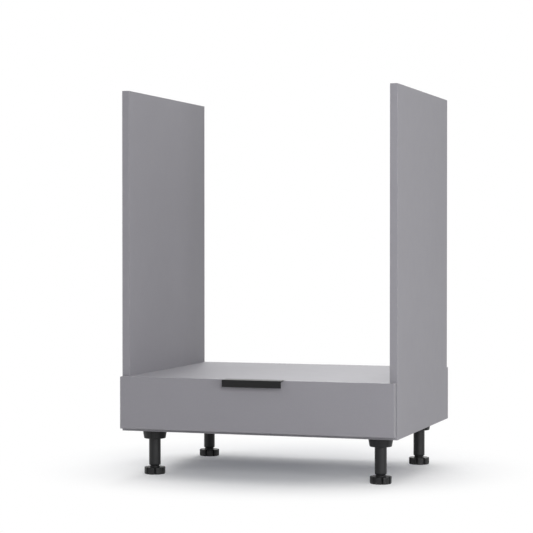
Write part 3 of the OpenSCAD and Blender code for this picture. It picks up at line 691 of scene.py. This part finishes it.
def set_down(piece, place=ORIGIN, turn=UNTURNED):
    """Moves and turns a piece, and writes its place into its mesh."""
    take(piece)
    piece.location = place
    piece.rotation_euler = turn
    bpy.ops.object.transform_apply(location=True, rotation=True, scale=True)
    return piece


def from_mm(values):
    return tuple(value * MM for value in values)


def block(name, low, high):
    """A block from its lowest to its highest corner."""
    low, high = Vector(low), Vector(high)
    bpy.ops.object.select_all(action="DESELECT")
    bpy.ops.mesh.primitive_cube_add(size=1.0, location=(low + high) / 2, scale=high - low)
    piece = bpy.context.object
    piece.name = name
    bpy.ops.object.transform_apply(location=True, rotation=True, scale=True)
    return piece


def block_in_mm(name, corners):
    low, high = corners
    return block(name, from_mm(low), from_mm(high))


def shape(piece):
    """Opens a piece alone in edit mode."""
    take(piece)
    bpy.ops.object.mode_set(mode="EDIT")
    bpy.ops.mesh.select_mode(type="VERT")
    bpy.ops.mesh.select_all(action="SELECT")


def close_shape():
    bpy.ops.object.mode_set(mode="OBJECT")


def pick_faces(piece, test):
    """Selects the faces whose middle and normal pass the test."""
    bpy.ops.mesh.select_mode(type="FACE")
    bpy.ops.mesh.select_all(action="DESELECT")
    mesh = bmesh.from_edit_mesh(piece.data)
    for face in mesh.faces:
        if test(face.calc_center_median(), face.normal):
            face.select_set(True)
    bmesh.update_edit_mesh(piece.data)


def pick_edges(piece, test):
    """Selects the edges whose two ends pass the test."""
    bpy.ops.mesh.select_mode(type="EDGE")
    bpy.ops.mesh.select_all(action="DESELECT")
    mesh = bmesh.from_edit_mesh(piece.data)
    for edge in mesh.edges:
        if test(edge.verts[0].co, edge.verts[1].co):
            edge.select_set(True)
    bmesh.update_edit_mesh(piece.data)


def round_picked(width, steps):
    """Rounds the picked edges of the open piece, or cuts them flat with one step."""
    bpy.ops.mesh.bevel(
        offset=width, offset_type="OFFSET", segments=steps, profile=ROUND_PROFILE, affect="EDGES")


def tidy_skin():
    """Closes the seams of the open piece and turns its faces outwards."""
    bpy.ops.mesh.select_all(action="SELECT")
    bpy.ops.mesh.remove_doubles(threshold=SEAM)
    bpy.ops.mesh.select_all(action="SELECT")
    bpy.ops.mesh.normals_make_consistent(inside=False)


def same(value, other):
    return abs(value - other) < NEAR


def drawn(name, start, strokes):
    """A line drawn from a point, each stroke outwards and upwards in mm. The piece stays open."""
    bpy.ops.object.select_all(action="DESELECT")
    bpy.ops.mesh.primitive_plane_add(size=MM)
    piece = bpy.context.object
    piece.name = name
    shape(piece)
    bpy.ops.mesh.merge(type="CENTER")
    bpy.ops.transform.translate(value=(start[0] * MM, 0.0, start[1] * MM))
    for out, up in strokes:
        bpy.ops.mesh.extrude_vertices_move(
            TRANSFORM_OT_translate={"value": (out * MM, 0.0, up * MM)})
    return piece


def turned(name, outline, steps=TURN_STEPS):
    """A shape turned on a lathe about the upright axis, from its outline."""
    strokes = [(after[0] - before[0], after[1] - before[1])
               for before, after in zip(outline, outline[1:])]
    piece = drawn(name, outline[0], strokes)
    bpy.ops.mesh.select_all(action="SELECT")
    bpy.ops.mesh.spin(steps=steps, angle=FULL_TURN, center=ORIGIN, axis=UPWARDS)
    tidy_skin()
    close_shape()
    return piece


def apply_modifier(piece, modifier):
    take(piece)
    bpy.context.view_layer.update()
    bpy.ops.object.modifier_apply(modifier=modifier.name)


def throw_away(piece):
    bpy.data.objects.remove(piece)


def combine(piece, others, operation):
    """Works the others' shapes into a piece, and throws them away."""
    for other in others:
        step = piece.modifiers.new("combine", "BOOLEAN")
        step.operation = operation
        step.solver = "EXACT"
        step.object = other
        apply_modifier(piece, step)
        throw_away(other)
    return piece


def carve(piece, *cutters):
    """Takes the cutters' shapes out of a piece."""
    return combine(piece, cutters, "DIFFERENCE")


def weld(piece, *others):
    """Makes one skin of a piece and the others."""
    return combine(piece, others, "UNION")


def ease_edges(piece, width, steps=EASE_STEPS):
    """Rounds every sharp edge a little."""
    ease = piece.modifiers.new("ease", "BEVEL")
    ease.width = width
    ease.segments = steps
    ease.limit_method = "ANGLE"
    ease.angle_limit = SHARP
    apply_modifier(piece, ease)


def smooth(piece):
    """Smooth shading that keeps the flat faces flat."""
    take(piece)
    bpy.ops.object.shade_smooth_by_angle(angle=SMOOTH_UNDER)
    level = piece.modifiers.new("level", "WEIGHTED_NORMAL")
    level.keep_sharp = True
    apply_modifier(piece, level)
    return piece


def another(piece, name, place=ORIGIN, turn=UNTURNED):
    """A copy with its own mesh, set down at its place."""
    take(piece)
    bpy.ops.object.duplicate(linked=False)
    twin = bpy.context.object
    twin.name = name
    return set_down(twin, place, turn)


def joined(name, pieces):
    """One object of several loose pieces."""
    take(pieces[0])
    for piece in pieces:
        piece.select_set(True)
    if len(pieces) > 1:
        bpy.ops.object.join()
    pieces[0].name = name
    return pieces[0]


def round_the_axis(piece, name, count, first=0.0):
    """Copies of a piece set evenly round the upright axis, and the first one thrown away."""
    ring = [another(piece, name, turn=(0.0, 0.0, first + FULL_TURN * step / count))
            for step in range(count)]
    throw_away(piece)
    return joined(name, ring)


def fit(piece, body, slot, node):
    """Puts a finished piece on its body, in place of its CAD node."""
    piece.data.materials.clear()
    piece.data.materials.append(finishes.get(node, finishes[slot]))
    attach(piece, body)
    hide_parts(node)


def middle(node):
    low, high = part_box(node)
    return (low + high) / 2


# Boards and their bands


def board(name, node, body="cabinet", cutters=()):
    """A cut board with its edges eased."""
    low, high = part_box(node)
    piece = block(name, low, high)
    shape(piece)
    round_picked(BOARD_EASE, EASE_STEPS)
    close_shape()
    carve(piece, *cutters)
    fit(smooth(piece), body, "laminate", node)


def band(name, node):
    """A strip of banding: its two long outer edges are rounded, and a glue line shows behind."""
    low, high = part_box(node)
    piece = block(name, low, high)
    upright = high.z - low.z > high.x - low.x
    shape(piece)
    pick_edges(piece, lambda a, b: same(a.y, low.y) and same(b.y, low.y)
               and (same(a.x, b.x) if upright else same(a.z, b.z)))
    round_picked(BAND_ROUND, ROUND_STEPS)
    pick_edges(piece, lambda a, b: same(a.y, high.y) and same(b.y, high.y))
    round_picked(GLUE_LINE, CHAMFER)
    close_shape()
    fit(smooth(piece), "cabinet", "banding", node)


def cam_pockets(level, height):
    """The cutter for the four round pockets in a board's underside."""
    pockets = [set_down(turned("pocket", POCKET_OUTLINE), (x * MM, y * MM, height))
               for x in CAM_XS for y in CAM_YS]
    return joined("pockets_" + level, pockets)


def rebate_cutter():
    """The place that the handle takes in the top edge of the drawer front."""
    low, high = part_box("handle")
    front_low, front_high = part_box("front_edging")
    return block("rebate", (low.x - REBATE_END, front_low.y - OVER, high.z - HANDLE_SHEET),
                 (high.x + REBATE_END, front_high.y + OVER, front_high.z + OVER))


def make_boards():
    for side in SIDES:
        board("upright_" + side, "side_panel_" + side)
        band("upright_band_" + side, "side_edging_" + side)
    for name, node, strip in (("deck", "bottom_panel", "bottom_edging"),
                              ("shelf", "oven_shelf", "shelf_edging")):
        board(name, node, cutters=[cam_pockets(name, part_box(node)[0].z)])
        band(name + "_band", strip)
    board("rear_board", "back_board")
    board("drawer_base", "drawer_bottom", "drawer")
    board("drawer_rear", "drawer_back", "drawer")
    board("drawer_face", "drawer_front", "drawer", [rebate_cutter()])


def make_front_band():
    """The band round the drawer front: a frame drawn on its face and run through to the back."""
    low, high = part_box("front_edging")
    core_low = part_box("drawer_front")[0]
    piece = block("drawer_face_band", low, high)
    shape(piece)
    pick_faces(piece, lambda centre, normal: abs(normal.y) > STRAIGHT)
    bpy.ops.mesh.inset(thickness=core_low.x - low.x, depth=0.0)
    bpy.ops.mesh.select_mode(type="FACE")
    bpy.ops.mesh.bridge_edge_loops()
    tidy_skin()
    pick_edges(piece, lambda a, b: same(a.y, low.y) and same(b.y, low.y) and any(
        same(a[axis], side[axis]) and same(b[axis], side[axis])
        for axis in (0, 2) for side in (low, high)))
    round_picked(BAND_ROUND, ROUND_STEPS)
    close_shape()
    carve(piece, rebate_cutter())
    fit(smooth(piece), "drawer", "banding", "front_edging")


# Handle


def make_handle():
    """A folded edge pull: a flat top with a lip in front and a leg behind the drawer front."""
    low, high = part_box("handle")
    piece = block("edge_pull", (low.x, low.y, high.z - HANDLE_SHEET), high)
    front, rear = low.y + HANDLE_SHEET, high.y - HANDLE_SHEET
    shape(piece)
    for place in (front, rear):
        bpy.ops.mesh.select_all(action="SELECT")
        bpy.ops.mesh.bisect(plane_co=(0.0, place, 0.0), plane_no=BACKWARDS, threshold=NEAR)
    for start, end, drop in ((low.y, front, LIP_DROP), (rear, high.y, LEG_DROP)):
        pick_faces(piece, lambda centre, normal: normal.z < -STRAIGHT and start < centre.y < end)
        bpy.ops.mesh.extrude_region_move(TRANSFORM_OT_translate={"value": (0.0, 0.0, -drop)})
    tidy_skin()
    pick_edges(piece, lambda a, b: same(a.z, high.z) and same(b.z, high.z) and same(a.y, b.y)
               and (same(a.y, low.y) or same(a.y, high.y)))
    round_picked(HANDLE_FOLD, FOLD_STEPS)
    close_shape()
    ease_edges(piece, HANDLE_EASE)
    holes = [set_down(turned("hole", HANDLE_HOLE_OUTLINE, HOLE_STEPS),
                      from_mm((x, HANDLE_LEG_Y, HANDLE_SCREW_Z)), FACING_FRONT)
             for x in HANDLE_SCREW_XS]
    carve(piece, joined("handle_holes", holes))
    fit(smooth(piece), "drawer", "handle_black", "handle")


# Legs


def make_socket():
    """A moulded cup under the board: fluted wall, sleeve for the tube, ribs, four screw holes."""
    cup = turned("socket", SOCKET_OUTLINE)
    rib = block_in_mm("rib", SOCKET_RIB)
    weld(cup, round_the_axis(rib, "ribs", SOCKET_FLUTES, FLUTE_TURN))
    flute = turned("flute", FLUTE_OUTLINE, FLUTE_STEPS)
    set_down(flute, from_mm(FLUTE_PLACE), FLUTE_LEAN)
    hole = turned("hole", LEG_HOLE_OUTLINE, HOLE_STEPS)
    set_down(hole, (LEG_SCREW_RADIUS * MM, 0.0, 0.0))
    carve(cup, round_the_axis(flute, "flutes", SOCKET_FLUTES, FLUTE_TURN),
          round_the_axis(hole, "holes", LEG_SCREWS, LEG_SCREW_TURN))
    ease_edges(cup, SOCKET_EASE * MM)
    return smooth(cup)


def make_tube():
    """A leg tube, hollow, drawn in at its lower end."""
    return smooth(turned("tube", TUBE_OUTLINE))


def make_stem():
    """The foot's stem: a coarse right-hand thread above a plain spigot."""
    rod = drawn("stem", (THREAD_CORE, STEM_LOW - THREAD_PITCH), THREAD_STROKES)
    close_shape()
    thread = rod.modifiers.new("thread", "SCREW")
    thread.axis = "Z"
    thread.angle = FULL_TURN
    thread.screw_offset = THREAD_PITCH * MM
    thread.steps = thread.render_steps = THREAD_TURN_STEPS
    thread.iterations = THREAD_TURNS
    thread.use_merge_vertices = True
    apply_modifier(rod, thread)
    shape(rod)
    tidy_skin()
    for height, above in ((STEM_LOW, True), (STEM_TOP, False)):
        bpy.ops.mesh.select_all(action="SELECT")
        bpy.ops.mesh.bisect(plane_co=(0.0, 0.0, height * MM), plane_no=UPWARDS, threshold=NEAR,
                            use_fill=True, clear_inner=above, clear_outer=not above)
    tidy_skin()
    close_shape()
    spigot = turned("spigot", SPIGOT_OUTLINE)
    tip = turned("tip", STEM_TIP_OUTLINE)
    carve(weld(rod, spigot), tip)
    return smooth(rod)


def at_notch_mouth(a, b):
    """Whether an edge is one of the upright corners where a notch meets the foot's rim."""
    off = abs(math.remainder(math.atan2(a.x, -a.y), FULL_TURN / FOOT_LOBES))
    return (same(a.x, b.x) and same(a.y, b.y) and a.xy.length > MOUTH_RADIUS * MM
            and abs(off - MOUTH_TURN) < MOUTH_SLACK)


def make_foot(turn):
    """A lobed foot with a hub, hollow and ribbed underneath."""
    disc = turned("foot", FOOT_OUTLINE, FOOT_STEPS)
    rib = block_in_mm("rib", FOOT_RIB)
    weld(disc, round_the_axis(rib, "ribs", FOOT_LOBES, math.pi / FOOT_LOBES))
    notch = block_in_mm("notch", NOTCH_BLOCK)
    bottom = -NOTCH_END * MM
    shape(notch)
    pick_edges(notch, lambda a, b: same(a.y, bottom) and same(b.y, bottom) and same(a.x, b.x))
    round_picked(NOTCH_CORNER * MM, CHAMFER)
    close_shape()
    carve(disc, round_the_axis(notch, "notches", FOOT_LOBES))
    shape(disc)
    pick_edges(disc, at_notch_mouth)
    round_picked(NOTCH_EASE * MM, ROUND_STEPS)
    close_shape()
    ease_edges(disc, FOOT_EASE * MM, FOOT_EASE_STEPS)
    set_down(disc, turn=(0.0, 0.0, turn))
    return smooth(disc)


def make_legs():
    socket, tube, stem = make_socket(), make_tube(), make_stem()
    feet = {row: make_foot(turn) for row, turn in FOOT_TURNS.items()}
    for corner in CORNERS:
        row = corner.split("_")[0]
        axis = middle("tube_" + corner)
        on_floor = (axis.x, axis.y, 0.0)
        under_board = (axis.x, axis.y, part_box("socket_" + corner)[1].z)
        for piece, name, place, body, node in (
                (socket, "cup_", under_board, "cabinet", "socket_"),
                (tube, "leg_", on_floor, "cabinet", "tube_"),
                (stem, "thread_", on_floor, "stem_" + corner, "stem_"),
                (feet[row], "pad_", on_floor, "foot_" + corner, "foot_")):
            fit(another(piece, name + corner, place), body, "leg_plastic", node + corner)
    for piece in (socket, tube, stem, *feet.values()):
        throw_away(piece)


# Runners


def make_rollers():
    wheel = smooth(turned("wheel", ROLLER_OUTLINE))
    set_down(wheel, turn=ON_ITS_SIDE)
    for name in ("rail_roller", "drawer_roller"):
        for side in SIDES:
            node = name + "_" + side
            fit(another(wheel, name + "_wheel_" + side, middle(node)), node, "nylon", node)
    throw_away(wheel)


def make_pins():
    """Rivet pins with a shoulder and a domed head: inwards on the rails, outwards on the drawer."""
    for node, outline, body, turn in (("rail_pins", RAIL_PIN_OUTLINE, "cabinet", QUARTER),
                                      ("drawer_pins", DRAWER_PIN_OUTLINE, "drawer", -QUARTER)):
        pin = smooth(turned("pin", outline, PIN_STEPS))
        low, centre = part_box(node)[0], middle(node)
        long = max(height for _, height in outline) * MM
        root = low.x if node == "rail_pins" else low.x + long
        pair = [another(pin, "pin", (root, centre.y, centre.z), (0.0, turn, 0.0)),
                another(pin, "pin", (-root, centre.y, centre.z), (0.0, -turn, 0.0))]
        throw_away(pin)
        fit(joined("rivets_" + node, pair), body, "zinc", node)


# Fasteners


def screw_outline(across, long, head, high):
    """A screw, its seat at z = 0 and its tip down. The head is sunk and flat, or domed if high."""
    half = head / 2
    if high:
        top = [(0, high), *((half * out, high * up) for out, up in DOME)]
        neck = [(half, 0.0), (across / 2, 0.0)]
    else:
        top = [(0, 0), (half - SUNK_RIM, 0), (half, -SUNK_RIM)]
        neck = [(across / 2, -(head - across) / 2 - SUNK_NECK)]
    return top + neck + [(across / 2, across - long), (0, -long)]


def cross_recess(across, deep):
    """The cutter for a driver's cross: two blades that narrow towards their tip."""
    blades = []
    for turn in (0.0, QUARTER):
        blade = block_in_mm("blade", ((-across / 2, -RECESS_BLADE / 2, -deep),
                                      (across / 2, RECESS_BLADE / 2, RECESS_OVER)))
        shape(blade)
        pick_faces(blade, lambda centre, normal: normal.z < -STRAIGHT)
        bpy.ops.transform.resize(value=RECESS_TAPER)
        close_shape()
        blades.append(set_down(blade, turn=(0.0, 0.0, turn)))
    return weld(*blades)


def make_screw(across, long, head, high, cross, deep):
    """A screw with its head up and a driver's cross in it."""
    screw = turned("screw", screw_outline(across, long, head, high), SCREW_STEPS)
    carve(screw, set_down(cross_recess(cross, deep), (0.0, 0.0, high * MM)))
    return smooth(screw)


def set_screws(name, screw, places, turn):
    """The same screw at each place, as one piece. The turn is one for all, or a list."""
    turns = turn if isinstance(turn, list) else [turn] * len(places)
    copies = [another(screw, name, Vector(place) * MM, one) for place, one in zip(places, turns)]
    return joined(name, copies)


def cup_screw_places():
    """Four places round each leg, in mm."""
    places = []
    for corner in CORNERS:
        axis = middle("tube_" + corner) / MM
        for step in range(LEG_SCREWS):
            turn = LEG_SCREW_TURN + QUARTER * step
            places.append((axis.x + LEG_SCREW_RADIUS * math.cos(turn),
                           axis.y + LEG_SCREW_RADIUS * math.sin(turn), LEG_SCREW_Z))
    return places


def make_fasteners():
    screws = {kind: make_screw(*sizes) for kind, sizes in SCREWS.items()}
    heads_inwards = [(0.0, QUARTER if x < 0 else -QUARTER, 0.0) for x, _, _ in RAIL_SCREWS]
    heads_inside = [FACING_BACK if y < 0 else FACING_FRONT for _, y, _ in BRACKET_SCREWS]
    for name, kind, places, turn, body, node in (
            ("rear_board_screws", "sunk_long", BACK_SCREWS, FACING_BACK, "cabinet", "back_screws"),
            ("runner_screws", "sunk_short", RAIL_SCREWS, heads_inwards, "cabinet", "rail_screws"),
            ("cup_screws", "domed_wide", cup_screw_places(), FACING_DOWN, "cabinet",
             "socket_screws"),
            ("pull_screws", "domed", HANDLE_SCREWS, FACING_BACK, "drawer", "handle_screws"),
            ("angle_screws", "domed", BRACKET_SCREWS, heads_inside, "drawer", "bracket_screws")):
        fit(set_screws(name, screws[kind], places, turn), body, "zinc", node)
    ledge = set_screws("base_screws", screws["domed"], LEDGE_SCREWS, FACING_DOWN)
    rear = set_screws("base_rear_screws", screws["sunk_long"], BASE_SCREWS, FACING_DOWN)
    fit(joined("drawer_base_screws", [ledge, rear]), "drawer", "zinc", "drawer_screws")
    for screw in screws.values():
        throw_away(screw)


def make_cams():
    """Cam locks in their pockets, their crossed slot seen from below."""
    cam = turned("cam", CAM_OUTLINE, PIN_STEPS)
    for turn in (0.0, QUARTER):
        carve(cam, set_down(block_in_mm("slot", CAM_SLOT), turn=(0.0, 0.0, turn)))
    ease_edges(cam, CAM_EASE * MM, CHAMFER)
    smooth(cam)
    cams = [another(cam, "cam", (x * MM, y * MM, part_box(node)[0].z), (0.0, 0.0, turn))
            for node in ("bottom_panel", "oven_shelf")
            for x, turn in zip(CAM_XS, (0.0, QUARTER)) for y in CAM_YS]
    throw_away(cam)
    fit(joined("cam_discs", cams), "cabinet", "zinc", "cam_locks")


make_camera()
make_lamps()
make_room()
make_floor()

finishes = make_finishes()
make_boards()
make_front_band()
make_handle()
make_legs()
make_rollers()
make_pins()
make_fasteners()
make_cams()

for subpart in frame["record"]["subparts"]:
    mesh = frame["nodes"][subpart["node"]].data
    mesh.materials.clear()
    mesh.materials.append(finishes[subpart["material_slot"]])

bpy.context.scene.view_settings.view_transform = "Standard"
